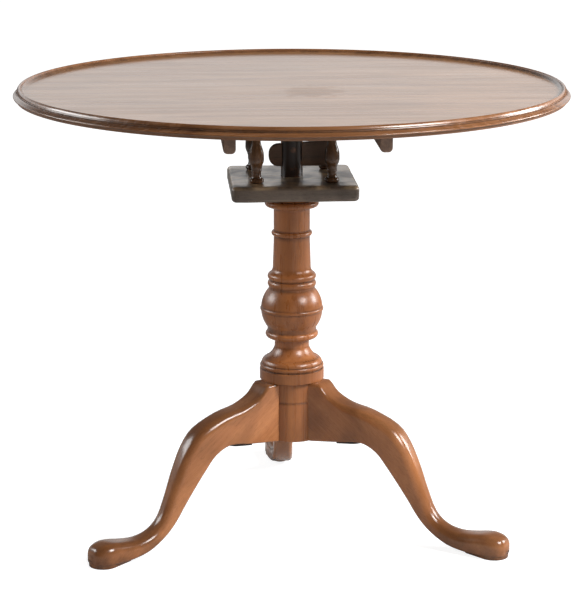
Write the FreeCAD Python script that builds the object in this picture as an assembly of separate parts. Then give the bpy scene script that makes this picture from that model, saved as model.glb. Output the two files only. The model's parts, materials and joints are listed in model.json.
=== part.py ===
import FreeCAD, Part
import math
import os

# A round tray-top tea table on a turned pillar with three cabriole legs.
# The top tilts on a birdcage of two blocks and four balusters, and the cage
# turns on the pillar's spindle, where a wooden key holds it.
# Millimetres. The origin is on the floor under the pillar, +Z is up, and -Y is the front.
# The pintles lie along X near the front edge of the cage, so the back of the top lifts.

# Overall size
table_height = 711.0         # floor to the crest of the tray rim
top_diameter = 856.0         # across the widest bead of the rim

# Tray top, one turned board
board_thickness = 13.0       # wood under the tray floor
tray_depth = 6.0             # tray floor below the crest
rim_bead_depth = 12.8        # widest bead below the crest
rim_bead_height = 2.8        # of the widest bead
crest_inset = 8.0            # outer side of the crest in from the widest bead
crest_width = 3.6            # across the rounded crest
crest_round = 0.9            # rise of the crest over its sides
rim_ovolo_width = 2.2        # of the quarter round under the crest
rim_ovolo_height = 3.8
rim_ovolo_bulge = 0.9
quirk_depth = 0.7            # of the scratched line under the quarter round
upper_bead_height = 2.4      # of the small bead under the scratched line
rim_hollow = 0.6             # of the cove between the two beads
tray_cove_width = 9.0        # hollow from the crest down to the tray floor
tray_cove_hollow = 1.2
undercut_width = 5.0         # underside of the rim in from the widest bead
undercut_hollow = 1.0

# Battens under the top
batten_spacing = 220.0       # between the middles of the two battens
batten_width = 18.0
batten_depth = 30.0
batten_length = 700.0
batten_belly = 4.3           # rounding of the batten's lower edge
batten_screw_inset = 40.0    # outer screws from the batten's ends
batten_screw_spread = 260.0  # between the two inner screws
batten_screw_length = 28.0
batten_screw_radius = 2.2
batten_screw_head_radius = 4.2
batten_screw_head_height = 3.0
batten_screw_bite = 7.0      # of the screw in the board

# Birdcage
block_size = 195.0           # both blocks are square
lower_block_thickness = 24.0
upper_block_thickness = 24.0
cage_gap = 102.0             # clear height between the blocks
block_corner_radius = 9.0    # of the upright corners
block_edge_radius = 3.0      # of the lower block's other edges
pivot_edge_radius = 10.5     # of the upper block's edge that the top rolls over
pintle_radius = 9.0
pintle_clearance = 0.25      # around each pintle in its batten
pintle_recess = 1.0          # pintle end in from the batten's outer face

# Balusters
baluster_spacing = 116.0     # between the middles of two neighbours
baluster_ring_radius = 12.0  # of the bell-shaped base and cap
baluster_ring_height = 8.2
baluster_ring_root = 8.0     # where the bell meets its ring
baluster_neck_radius = 5.6
baluster_neck_height = 18.5  # lower neck above the lower block
baluster_belly_radius = 10.3
baluster_belly_height = 39.5
baluster_throat_radius = 4.6
baluster_throat_height = 70.0
baluster_bell_hollow = 1.0   # between the base ring and the neck
baluster_cap_hollow = 1.6    # between the throat and the cap ring
baluster_sway = 0.8          # of the curves between neck, belly and throat
baluster_tenon_radius = 6.0
tenon_clearance = 0.1        # around each tenon and dovetail

# Spindle and its key
spindle_radius = 17.0
spindle_clearance = 0.3      # around the spindle in both blocks
spindle_end_gap = 1.0        # spindle end below the underside of the top
key_lift = 16.0              # underside of the key above the lower block
key_thickness = 12.0
key_small_height = 34.0      # at the small end
key_big_height = 39.0        # at the big end
key_small_reach = 36.0       # small end from the spindle's axis
key_big_reach = 60.0         # big end from the spindle's axis
key_end_bulge = 11.0         # rounding of the small end
key_clearance = 0.3          # around the key in its slot

# Pillar, from the bottom up
shaft_radius = 45.5          # plain shaft that the legs join
shaft_bottom = 145.0         # above the floor
shaft_height = 95.0
drum_radius = 51.0
drum_height = 17.0
drum_groove_depth = 2.0
drum_groove_height = 1.6
torus_radius = 50.5
torus_height = 6.6
ovolo_foot_radius = 48.2     # quarter round above the torus
ovolo_top_radius = 43.0
ovolo_rise = 9.0
ovolo_bulge = 1.4
ovolo_step = 1.0             # in from the quarter round to the hollow above it
cove_rise = 18.5             # from the quarter round to the waist
cove_hollow = 2.2
waist_radius = 27.3
waist_height = 15.0          # from the narrowest point to the ring
flare_width = 3.0            # of the small hollows under the ring and the lip
flare_height = 5.0
flare_hollow = 0.8
ring_radius = 41.7
ring_root_radius = 38.5
ring_height = 10.5
ball_radius = 48.7
ball_neck_radius = 36.3      # on top of the ball
ball_neck_height = 3.5
ball_bead_rise = 1.4         # of the bead round the ball's middle
ball_bead_height = 6.0
ball_foot_height = 6.0       # between the ring and the ball
astragal_radius = 38.2       # of the two rings above the ball
astragal_root_radius = 35.2
astragal_height = 10.4
astragal_gap = 0.8           # flat between the two rings
neck_cove_rise = 9.0         # hollow above the rings
neck_cove_hollow = 1.3
neck_foot_radius = 30.0
neck_radius = 28.4
neck_taper_height = 44.0     # from the hollow to the parallel part
neck_bead_radius = 32.0
neck_bead_height = 8.2
neck_bead_rise = 7.0         # bead above the tapered part
lip_radius = 42.3
lip_height = 10.0
lip_drop = 24.0              # underside of the lip below the lower block
throat_radius = 33.0         # between the lip and the seat
seat_radius = 41.0           # of the shoulder that the lower block turns on
seat_height = 6.0
throat_hollow = 1.5
turned_chamfer = 0.8         # of the drum's edges
spindle_chamfer = 1.5

# Legs
leg_thickness = 42.0         # of the plank at the knee
ankle_width = 32.0
foot_width = 48.0
toe_length = 24.0            # from the toe to the foot's widest place
toe_blunt = 1.0              # of the toe's end
leg_reach = 378.0            # toe from the pillar's axis
leg_ledge = 58.0             # end of the leg's top from the pillar's axis
front_leg_angle = 58.0       # each front leg from the front, in degrees
arch_slope = 6.0             # of the straight underside beside the pillar, in degrees
arch_trim = 0.5              # planed off that underside
pad_thickness = 5.0
pad_length = 71.0
pad_heel_radius = 12.0       # of the pad's narrow end
pad_inset = 1.0              # of the pad inside the foot
pad_bite = 2.0               # of the pad in the foot
crown_flat = 2.0             # least flat along the middle of the upper side
dovetail_height = 78.0
dovetail_depth = 17.0
dovetail_root = 17.0         # width at the leg's shoulder
dovetail_end = 25.0          # width at its inner end

# Iron brace under the pillar
brace_thickness = 3.0
brace_hub_radius = 30.0
brace_arm_width = 20.0
brace_palm_width = 34.0      # at the end of an arm
brace_palm_length = 42.0
brace_arm_reach = 131.0
brace_room = 1.0             # flat of the leg beyond the arm's end
nail_radius = 1.6
nail_length = 18.0
nail_head_radius = 4.0
nail_head_height = 1.8
nail_head_swell = 0.6
nail_point = 4.0             # length of its tapered end
nail_clearance = 0.05
nail_spots = (74.0, 112.0)   # along each arm from the pillar's axis
hub_nail_radius = 17.0       # of the ring of nails in the hub
hub_nail_turn = 60.0         # of those nails from the arms, in degrees

# Brass catch at the back
catch_plate_width = 34.0
catch_plate_length = 50.0
catch_plate_thickness = 3.0
catch_setback = 3.0          # plate and drawn bolt behind the upper block
bolt_width = 10.0
bolt_thickness = 5.0
bolt_length = 44.0
bolt_bevel = 3.0             # of the bolt's nose
bolt_throw = 9.0
bolt_clearance = 0.3         # around the bolt in its guides and keeper
guide_thickness = 1.8
guide_length = 7.0
guide_foot = 5.0             # flange of a guide on each side
guide_inset = 4.0            # of the guides from the plate's ends
knob_radius = 5.0
knob_height = 9.0
knob_swell = 1.2
knob_stem_radius = 2.5
knob_stem_height = 4.0
catch_screw_radius = 1.5
catch_screw_head_radius = 3.0
catch_screw_length = 10.0
catch_screw_edge = 5.0       # screw from the plate's edges
keeper_width = 32.0
keeper_height = 14.0
keeper_thickness = 1.5
keeper_drop = 2.0            # top of the keeper below the block's upper face
mortise_depth = 12.0         # behind the keeper
keeper_screw_length = 12.0
keeper_screw_spacing = 22.0

# Heights that follow
tray_floor = table_height - tray_depth
underside = tray_floor - board_thickness
upper_block_bottom = underside - upper_block_thickness
lower_block_top = upper_block_bottom - cage_gap
lower_block_bottom = lower_block_top - lower_block_thickness
drum_bottom = shaft_bottom + shaft_height
pintle_height = underside - upper_block_thickness / 2
pintle_setback = block_size / 2 - pivot_edge_radius
pintle_axis = FreeCAD.Vector(0, -pintle_setback, pintle_height)
leg_seat = math.sqrt(shaft_radius ** 2 - (leg_thickness / 2) ** 2)
leg_angles = {
    "leg_back": 90.0,
    "leg_left": 270.0 - front_leg_angle,
    "leg_right": 270.0 + front_leg_angle,
}

Z_AXIS = FreeCAD.Vector(0, 0, 1)
X_AXIS = FreeCAD.Vector(1, 0, 0)
Y_AXIS = FreeCAD.Vector(0, 1, 0)
ORIGIN = FreeCAD.Vector(0, 0, 0)
near = 0.001                 # two places this close are the same


def save(name, shape):
    shape.exportStep(os.path.join("parts", name + ".step"))


def box(x0, x1, y0, y1, z0, z1):
    return Part.makeBox(x1 - x0, y1 - y0, z1 - z0, FreeCAD.Vector(x0, y0, z0))


def upright(radius, z0, z1, x=0.0, y=0.0):
    return Part.makeCylinder(radius, z1 - z0, FreeCAD.Vector(x, y, z0), Z_AXIS)


def turned_about_z(shape, degrees):
    copy = shape.copy()
    copy.rotate(ORIGIN, Z_AXIS, degrees)
    return copy


def bow(start, end, sag):
    """Arc from one profile point to the next; a positive sag bulges to the right of the way."""
    run = end[0] - start[0]
    rise = end[1] - start[1]
    length = math.hypot(run, rise)
    middle_r = (start[0] + end[0]) / 2 + sag * rise / length
    middle_z = (start[1] + end[1]) / 2 - sag * run / length
    return (middle_r, middle_z, end[0], end[1])


def halfway(start, end):
    return ((start[0] + end[0]) / 2, (start[1] + end[1]) / 2)


def bead(root, radius, z0, z1):
    """Half-round ring on a turned profile, from z0 to z1."""
    return [(root, z0), (radius, (z0 + z1) / 2, root, z1)]


def flare(radius, top):
    """Small hollow that widens a turned part up to the flat underside of a ring."""
    start = (radius, top - flare_height)
    return [start, bow(start, (radius + flare_width, top), -flare_hollow)]


def turned(profile):
    """Solid turned about Z. A point is (r, z), or (r, z, r, z) for an arc through the first pair."""
    edges = []
    last = FreeCAD.Vector(profile[0][0], 0, profile[0][1])
    first = last
    for point in profile[1:]:
        end = FreeCAD.Vector(point[-2], 0, point[-1])
        if len(point) == 4:
            middle = FreeCAD.Vector(point[0], 0, point[1])
            edges.append(Part.Arc(last, middle, end).toShape())
        else:
            edges.append(Part.LineSegment(last, end).toShape())
        last = end
    edges.append(Part.LineSegment(last, first).toShape())
    face = Part.Face(Part.Wire(edges))
    return face.revolve(ORIGIN, Z_AXIS, 360)


def screw(length, radius, head_radius, head_height):
    """Countersunk screw along +Z, its head's flat face at the origin."""
    profile = [(0, 0), (head_radius, 0), (radius, head_height), (radius, length), (0, length)]
    return turned(profile)


def aimed(shape, direction, place):
    """A shape made along +Z, turned to a direction and set at its place."""
    copy = shape.copy()
    turn = FreeCAD.Rotation(Z_AXIS, direction)
    copy.Placement = FreeCAD.Placement(place, turn)
    return copy


def make_table_top(screw_holes):
    radius = top_diameter / 2
    bead_top = table_height - rim_bead_depth + rim_bead_height / 2
    bead_bottom = bead_top - rim_bead_height
    crest_outer = radius - crest_inset
    crest_inner = crest_outer - crest_width
    crest_foot = table_height - crest_round
    crest_middle = (crest_outer + crest_inner) / 2
    ovolo_end = (crest_outer + rim_ovolo_width, crest_foot - rim_ovolo_height)
    upper_bead_root = ovolo_end[0] - quirk_depth
    upper_bead_top = ovolo_end[1] - quirk_depth
    upper_bead_bottom = upper_bead_top - upper_bead_height
    bead_root = radius - rim_bead_height / 2
    cove_start = (crest_inner - tray_cove_width, tray_floor)
    cove_end = (crest_inner, crest_foot)
    profile = [
        (0, underside),
        (radius - undercut_width, underside),
        bow((radius - undercut_width, underside), (bead_root, bead_bottom), -undercut_hollow),
        (radius, (bead_top + bead_bottom) / 2, bead_root, bead_top),
        bow((bead_root, bead_top), (upper_bead_root, upper_bead_bottom), -rim_hollow),
        (ovolo_end[0], (upper_bead_top + upper_bead_bottom) / 2, upper_bead_root, upper_bead_top),
        ovolo_end,
        bow(ovolo_end, (crest_outer, crest_foot), rim_ovolo_bulge),
        (crest_middle, table_height, crest_inner, crest_foot),
        bow(cove_end, cove_start, -tray_cove_hollow),
        (0, tray_floor),
    ]
    return turned(profile).cut(screw_holes)


def batten_screw_places():
    outer = batten_length / 2 - batten_screw_inset
    inner = batten_screw_spread / 2
    places = []
    for side in (-1, 1):
        for along in (-outer, -inner, inner, outer):
            places.append((side * batten_spacing / 2, along))
    return places


def make_batten_screws(clearance):
    """The screws, or with a clearance the holes that they go in, open to the batten's lower edge."""
    tip = underside + batten_screw_bite
    solids = []
    for x, y in batten_screw_places():
        start = FreeCAD.Vector(x, y, tip - batten_screw_length)
        radius = batten_screw_radius + clearance
        head = batten_screw_head_radius + clearance
        length = batten_screw_length + clearance
        shape = aimed(screw(length, radius, head, batten_screw_head_height), Z_AXIS, start)
        if clearance:
            well = upright(head, underside - batten_depth, start.z, x, y)
            shape = shape.fuse(well)
        solids.append(shape)
    return Part.makeCompound(solids)


def make_batten(side, screw_holes):
    middle = side * batten_spacing / 2
    left = middle - batten_width / 2
    right = middle + batten_width / 2
    front = -batten_length / 2
    bottom = underside - batten_depth
    corners = [
        FreeCAD.Vector(left, front, underside),
        FreeCAD.Vector(left, front, bottom + batten_belly),
        FreeCAD.Vector(middle, front, bottom),
        FreeCAD.Vector(right, front, bottom + batten_belly),
        FreeCAD.Vector(right, front, underside),
    ]
    edges = [
        Part.LineSegment(corners[0], corners[1]).toShape(),
        Part.Arc(corners[1], corners[2], corners[3]).toShape(),
        Part.LineSegment(corners[3], corners[4]).toShape(),
        Part.LineSegment(corners[4], corners[0]).toShape(),
    ]
    bar = Part.Face(Part.Wire(edges)).extrude(Y_AXIS * batten_length)
    hole_start = pintle_axis + X_AXIS * (left - batten_width)
    hole = Part.makeCylinder(pintle_radius + pintle_clearance, 3 * batten_width, hole_start, X_AXIS)
    return bar.cut(hole).cut(screw_holes)


def is_upright(edge):
    """True for a straight edge along Z."""
    ends = [vertex.Point for vertex in edge.Vertexes]
    return len(ends) == 2 and abs(ends[1].z - ends[0].z) > edge.Length - near


def block_body(z0, z1):
    half = block_size / 2
    body = box(-half, half, -half, half, z0, z1)
    upright_edges = [edge for edge in body.Edges if is_upright(edge)]
    return body.makeFillet(block_corner_radius, upright_edges)


def cage_holes():
    """Bore for the spindle and holes for the balusters' tenons, through both blocks."""
    holes = [upright(spindle_radius + spindle_clearance, lower_block_bottom, underside)]
    for x, y in baluster_places():
        holes.append(upright(baluster_tenon_radius + tenon_clearance, lower_block_bottom, underside, x, y))
    return Part.makeCompound(holes)


def make_lower_block():
    body = block_body(lower_block_bottom, lower_block_top)
    flat_edges = [edge for edge in body.Edges if not is_upright(edge)]
    return body.makeFillet(block_edge_radius, flat_edges).cut(cage_holes())


def keeper_box():
    """Room for the keeper in the back of the upper block."""
    half = block_size / 2
    top = underside - keeper_drop
    return box(-keeper_width / 2, keeper_width / 2, half - keeper_thickness, half, top - keeper_height, top)


def bolt_room(depth):
    """Slot that the thrown bolt enters, through the keeper and into the block."""
    half = block_size / 2
    bolt_top = underside - catch_plate_thickness
    return box(-bolt_width / 2 - bolt_clearance, bolt_width / 2 + bolt_clearance,
               half - keeper_thickness - depth, half,
               bolt_top - bolt_thickness - 2 * bolt_clearance, bolt_top)


def make_upper_block(keeper_screw_holes):
    half = block_size / 2
    body = box(-half, half, -half, half, upper_block_bottom, underside)
    middle = FreeCAD.Vector(0, -half, underside)
    pivot_edge = [edge for edge in body.Edges if edge.CenterOfMass.isEqual(middle, near)]
    body = body.makeFillet(pivot_edge_radius, pivot_edge)
    back_edges = [edge for edge in body.Edges if is_upright(edge) and edge.CenterOfMass.y > 0]
    body = body.makeFillet(block_corner_radius, back_edges)
    reach = batten_spacing / 2 + batten_width / 2 - pintle_recess
    pintles = Part.makeCylinder(pintle_radius, 2 * reach, pintle_axis - X_AXIS * reach, X_AXIS)
    body = body.fuse(pintles)
    return body.cut(cage_holes()).cut(keeper_box()).cut(bolt_room(mortise_depth)).cut(keeper_screw_holes)


def baluster_places():
    half = baluster_spacing / 2
    return [(-half, -half), (half, -half), (half, half), (-half, half)]


def make_baluster():
    """Turned on the Z axis, tenoned through both blocks."""
    ring = baluster_ring_radius
    shoulder = baluster_ring_root
    low = lower_block_top
    high = upper_block_bottom
    neck = (baluster_neck_radius, low + baluster_neck_height)
    belly = (baluster_belly_radius, low + baluster_belly_height)
    throat = (baluster_throat_radius, low + baluster_throat_height)
    ring_top = (shoulder, low + baluster_ring_height)
    cap_bottom = (shoulder, high - baluster_ring_height)
    lower_turn = halfway(neck, belly)
    upper_turn = halfway(belly, throat)
    profile = [
        (0, lower_block_bottom),
        (baluster_tenon_radius, lower_block_bottom),
        (baluster_tenon_radius, low),
        (shoulder, low),
        (ring, (low + ring_top[1]) / 2, ring_top[0], ring_top[1]),
        bow(ring_top, neck, -baluster_bell_hollow),
        bow(neck, lower_turn, -baluster_sway),
        bow(lower_turn, belly, baluster_sway),
        bow(belly, upper_turn, baluster_sway),
        bow(upper_turn, throat, -baluster_sway),
        bow(throat, cap_bottom, -baluster_cap_hollow),
        (ring, (high + cap_bottom[1]) / 2, shoulder, high),
        (baluster_tenon_radius, high),
        (baluster_tenon_radius, underside),
        (0, underside),
    ]
    return turned(profile)


def key_outline(grow):
    """Side of the key in the XZ plane, grown all round for its slot."""
    bottom = lower_block_top + key_lift - grow
    slope = (key_big_height - key_small_height) / (key_big_reach + key_small_reach)
    left = -key_small_reach + key_end_bulge
    left_top = bottom + key_small_height + slope * key_end_bulge + 2 * grow
    right_top = bottom + key_big_height + 2 * grow
    corners = [
        FreeCAD.Vector(left, 0, bottom),
        FreeCAD.Vector(key_big_reach, 0, bottom),
        FreeCAD.Vector(key_big_reach, 0, right_top),
        FreeCAD.Vector(left, 0, left_top),
    ]
    tip = FreeCAD.Vector(-key_small_reach, 0, (bottom + left_top) / 2)
    return corners, tip


def make_key():
    corners, tip = key_outline(0)
    edges = [
        Part.LineSegment(corners[0], corners[1]).toShape(),
        Part.LineSegment(corners[1], corners[2]).toShape(),
        Part.LineSegment(corners[2], corners[3]).toShape(),
        Part.Arc(corners[3], tip, corners[0]).toShape(),
    ]
    board = Part.Face(Part.Wire(edges)).extrude(Y_AXIS * key_thickness)
    board.translate(Y_AXIS * (-key_thickness / 2))
    return board


def make_key_slot():
    corners, tip = key_outline(key_clearance)
    wire = Part.makePolygon(corners + [corners[0]])
    width = key_thickness + 2 * key_clearance
    slot = Part.Face(wire).extrude(Y_AXIS * width)
    slot.translate(Y_AXIS * (-width / 2))
    return slot


def pillar_profile():
    drum_top = drum_bottom + drum_height
    groove_radius = drum_radius - drum_groove_depth
    torus_bottom = drum_top + drum_groove_height
    torus_top = torus_bottom + torus_height
    ovolo_foot = (ovolo_foot_radius, torus_top)
    ovolo_top = (ovolo_top_radius, torus_top + ovolo_rise)
    cove_foot = (ovolo_top_radius - ovolo_step, ovolo_top[1])
    waist = (waist_radius, ovolo_top[1] + cove_rise)
    ring_bottom = waist[1] + waist_height
    ring_top = ring_bottom + ring_height
    ball_drop = math.sqrt(ball_radius ** 2 - ring_root_radius ** 2)
    ball_middle = ring_top + ball_foot_height + ball_drop
    ball_rise = math.sqrt(ball_radius ** 2 - ball_neck_radius ** 2)
    ball_top = ball_middle + ball_rise
    bead_half = ball_bead_height / 2

    def on_ball(height):
        return (math.sqrt(ball_radius ** 2 - height ** 2), ball_middle + height)

    first_ring = ball_top + ball_neck_height
    first_top = first_ring + astragal_height
    second_ring = first_top + astragal_gap
    rings_top = second_ring + astragal_height
    cove_top = (neck_foot_radius, rings_top + neck_cove_rise)
    taper_top = (neck_radius, cove_top[1] + neck_taper_height)
    bead_bottom = taper_top[1] + neck_bead_rise
    bead_top = bead_bottom + neck_bead_height
    lip_bottom = lower_block_bottom - lip_drop
    lip_top = lip_bottom + lip_height
    seat_bottom = lower_block_bottom - seat_height
    spindle_top = underside - spindle_end_gap
    profile = [
        (0, shaft_bottom),
        (shaft_radius, shaft_bottom),
        (shaft_radius, drum_bottom),
        (drum_radius - turned_chamfer, drum_bottom),
        (drum_radius, drum_bottom + turned_chamfer),
        (drum_radius, drum_top - turned_chamfer),
        (drum_radius - turned_chamfer, drum_top),
        (groove_radius, drum_top),
    ]
    profile += bead(groove_radius, torus_radius, torus_bottom, torus_top)
    profile += [
        ovolo_foot,
        bow(ovolo_foot, ovolo_top, ovolo_bulge),
        cove_foot,
        bow(cove_foot, waist, -cove_hollow),
    ]
    profile += flare(waist_radius, ring_bottom)
    profile += [
        (ring_root_radius, ring_bottom),
        (ring_radius, (ring_bottom + ring_top) / 2, ring_root_radius, ring_top),
        on_ball(-ball_drop),
        on_ball(-ball_drop / 2) + on_ball(-bead_half),
        (ball_radius + ball_bead_rise, ball_middle) + on_ball(bead_half),
        on_ball(ball_rise / 2) + on_ball(ball_rise),
        (ball_neck_radius, first_ring),
        (astragal_radius, (first_ring + first_top) / 2, astragal_root_radius, first_top),
        (astragal_root_radius, second_ring),
        (astragal_radius, (second_ring + rings_top) / 2, astragal_root_radius, rings_top),
        bow((astragal_root_radius, rings_top), cove_top, -neck_cove_hollow),
        taper_top,
    ]
    profile += bead(neck_radius, neck_bead_radius, bead_bottom, bead_top)
    profile += flare(neck_radius, lip_bottom)
    profile += [
        (lip_radius - lip_height / 2, lip_bottom),
        (lip_radius, lip_bottom + lip_height / 2, lip_radius - lip_height / 2, lip_top),
        (throat_radius, lip_top),
        bow((throat_radius, lip_top), (seat_radius, seat_bottom), -throat_hollow),
        (seat_radius, lower_block_bottom),
        (spindle_radius, lower_block_bottom),
        (spindle_radius, spindle_top - spindle_chamfer),
        (spindle_radius - spindle_chamfer, spindle_top),
        (0, spindle_top),
    ]
    return profile


def dovetail(grow):
    """Sliding dovetail along +X, widest at its inner end, entered from below."""
    outer = leg_seat + grow
    inner = leg_seat - dovetail_depth - grow
    root = dovetail_root / 2 + grow
    end = dovetail_end / 2 + grow
    corners = [
        FreeCAD.Vector(outer, -root, shaft_bottom),
        FreeCAD.Vector(inner, -end, shaft_bottom),
        FreeCAD.Vector(inner, end, shaft_bottom),
        FreeCAD.Vector(outer, root, shaft_bottom),
    ]
    face = Part.Face(Part.makePolygon(corners + [corners[0]]))
    return face.extrude(Z_AXIS * (dovetail_height + grow))


def make_pillar(nail_holes):
    pillar = turned(pillar_profile())
    seat = box(leg_seat, drum_radius, -leg_thickness / 2, leg_thickness / 2, shaft_bottom, drum_bottom)
    for angle in leg_angles.values():
        pillar = pillar.cut(turned_about_z(seat, angle))
        pillar = pillar.cut(turned_about_z(dovetail(tenon_clearance), angle))
    return pillar.cut(make_key_slot()).cut(nail_holes)


def arch(reach):
    """Height of a leg's straight underside, which rises from the pillar."""
    return shaft_bottom + max(0, reach - leg_seat) * math.tan(math.radians(arch_slope))


def under_arch(end, depth):
    """Space under the arch of a leg along +X, so deep below its straight underside."""
    half = leg_thickness
    corners = [
        FreeCAD.Vector(0, -half, shaft_bottom),
        FreeCAD.Vector(leg_seat, -half, shaft_bottom),
        FreeCAD.Vector(end, -half, arch(end)),
        FreeCAD.Vector(end, -half, arch(end) - depth),
        FreeCAD.Vector(leg_seat, -half, shaft_bottom - depth),
        FreeCAD.Vector(0, -half, shaft_bottom - depth),
    ]
    face = Part.Face(Part.makePolygon(corners + [corners[0]]))
    return face.extrude(Y_AXIS * 2 * half)


def toe_width(back):
    """Width of the foot's rounded end, so far back from the toe."""
    along = (toe_length - back) / (toe_length + toe_blunt)
    return foot_width * math.sqrt(1 - along ** 2)


def leg_stations():
    """Sections of a leg from the pillar to the toe.

    Each has the upper and the lower outline as (reach, height), the leg's width there,
    and the radii of its upper and its lower corners.
    """
    top = drum_bottom
    plank = leg_thickness
    shin = (leg_thickness + ankle_width) / 2
    ankle = ankle_width
    sole = pad_thickness
    toe = leg_reach
    return [
        ((leg_seat, top), (leg_seat, arch(leg_seat) - arch_trim), plank, 7.0, 3.0),
        ((leg_ledge, top), (leg_ledge, arch(leg_ledge) - arch_trim), plank, 7.0, 3.0),
        ((75.0, top - 17.0), (73.0, arch(73.0) - arch_trim), plank, 7.0, 3.0),
        ((103.0, top - 29.5), (98.0, arch(98.0) - arch_trim), plank, 8.0, 3.0),
        ((140.0, top - 36.5), (132.0, arch(132.0) - arch_trim), plank, 9.0, 3.0),
        ((183.0, 186.0), (158.0, 143.0), plank, 11.0, 4.0),
        ((206.0, 161.0), (175.0, 122.5), plank - 2.0, 13.0, 6.0),
        ((225.0, 124.0), (193.0, 97.0), shin, 15.0, 8.0),
        ((239.0, 89.0), (210.5, 71.5), shin - 3.0, 15.0, 9.0),
        ((254.0, 56.0), (229.5, 44.0), ankle, 15.0, 9.0),
        ((273.0, 38.5), (252.0, 24.0), ankle + 1.0, 15.0, 8.0),
        ((296.0, 31.5), (281.0, 10.0), ankle + 5.0, 15.0, 6.0),
        ((toe - 58.0, 32.5), (toe - 64.0, sole), foot_width - 5.0, 16.0, 4.0),
        ((toe - 38.0, 35.5), (toe - 38.0, sole), foot_width - 1.0, 17.0, 3.0),
        ((toe - toe_length, 36.0), (toe - toe_length, sole), foot_width, 17.0, 3.0),
        ((toe - 10.0, 33.0), (toe - 10.0, sole), toe_width(10.0), 15.0, 3.0),
        ((toe - 3.0, 27.0), (toe - 3.0, sole + 0.5), toe_width(3.0), 9.0, 3.0),
        ((toe, 20.0), (toe, sole + 3.5), toe_width(0.0), 5.0, 2.0),
    ]


def leg_section(upper, lower, width, crown, arris):
    """Closed section across the leg, with rounded upper and lower corners."""
    base = FreeCAD.Vector(lower[0], 0, lower[1])
    height = math.hypot(upper[0] - lower[0], upper[1] - lower[1])
    rise = FreeCAD.Vector(upper[0] - lower[0], 0, upper[1] - lower[1]).normalize()
    half = width / 2
    crown = min(crown, half - crown_flat / 2, height - arris - crown_flat / 2)
    lean = math.sqrt(0.5)

    def at(across, up):
        return base + rise * up + Y_AXIS * across

    def corner(across, up, radius, out, above):
        """Points where a rounded corner starts and ends, and the middle of its arc."""
        centre = (across - out * radius, up - above * radius)
        side = at(across, centre[1])
        flat = at(centre[0], up)
        middle = at(centre[0] + out * lean * radius, centre[1] + above * lean * radius)
        return side, middle, flat

    right_low = corner(half, 0, arris, 1, -1)
    right_high = corner(half, height, crown, 1, 1)
    left_high = corner(-half, height, crown, -1, 1)
    left_low = corner(-half, 0, arris, -1, -1)
    edges = [
        Part.Arc(right_low[2], right_low[1], right_low[0]).toShape(),
        Part.LineSegment(right_low[0], right_high[0]).toShape(),
        Part.Arc(right_high[0], right_high[1], right_high[2]).toShape(),
        Part.LineSegment(right_high[2], left_high[2]).toShape(),
        Part.Arc(left_high[2], left_high[1], left_high[0]).toShape(),
        Part.LineSegment(left_high[0], left_low[0]).toShape(),
        Part.Arc(left_low[0], left_low[1], left_low[2]).toShape(),
        Part.LineSegment(left_low[2], right_low[2]).toShape(),
    ]
    return Part.Wire(edges)


def pad_outline():
    """The pad on the floor: round at the toe, with straight sides to a narrow round heel."""
    toe = leg_reach - pad_inset
    half = foot_width / 2 - pad_inset
    wide = leg_reach - toe_length
    heel = toe - pad_length
    narrow = heel + pad_heel_radius
    right = FreeCAD.Vector(wide, -half, 0)
    left = FreeCAD.Vector(wide, half, 0)
    heel_left = FreeCAD.Vector(narrow, pad_heel_radius, 0)
    heel_right = FreeCAD.Vector(narrow, -pad_heel_radius, 0)
    return Part.Wire([
        Part.Arc(right, FreeCAD.Vector(toe, 0, 0), left).toShape(),
        Part.LineSegment(left, heel_left).toShape(),
        Part.Arc(heel_left, FreeCAD.Vector(heel, 0, 0), heel_right).toShape(),
        Part.LineSegment(heel_right, right).toShape(),
    ])


def make_leg():
    """One leg along +X, with its dovetail and the pad under its foot."""
    sections = [leg_section(*station) for station in leg_stations()]
    leg = Part.makeLoft(sections, True, False)
    pad = Part.Face(pad_outline()).extrude(Z_AXIS * (pad_thickness + pad_bite))
    above = box(0, leg_reach, -leg_thickness, leg_thickness, drum_bottom, 2 * drum_bottom)
    below = under_arch(brace_arm_reach + brace_room, shaft_bottom)
    return leg.cut(above).cut(below).fuse(dovetail(0)).fuse(pad)


def nail_places():
    """Where the brace is nailed, along each arm and between the arms, and which way."""
    lean = math.sin(math.radians(arch_slope))
    places = []
    for angle in leg_angles.values():
        along = FreeCAD.Vector(math.cos(math.radians(angle)), math.sin(math.radians(angle)), 0)
        square = Z_AXIS * math.sqrt(1 - lean ** 2) - along * lean
        for spot in nail_spots:
            height = arch(spot) - brace_thickness
            places.append((along * spot + Z_AXIS * height, square))
        turn = math.radians(angle + hub_nail_turn)
        between = FreeCAD.Vector(math.cos(turn), math.sin(turn), 0)
        height = shaft_bottom - brace_thickness
        places.append((between * hub_nail_radius + Z_AXIS * height, Z_AXIS))
    return places


def make_nails():
    profile = [
        (0, -nail_head_height),
        bow((0, -nail_head_height), (nail_head_radius, 0), nail_head_swell),
        (nail_radius, 0),
        (nail_radius, nail_length - nail_point),
        (0, nail_length),
    ]
    nail = turned(profile)
    return Part.makeCompound([aimed(nail, way, place) for place, way in nail_places()])


def make_nail_holes():
    hole = upright(nail_radius + nail_clearance, 0, nail_length + nail_clearance)
    return Part.makeCompound([aimed(hole, way, place) for place, way in nail_places()])


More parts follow.
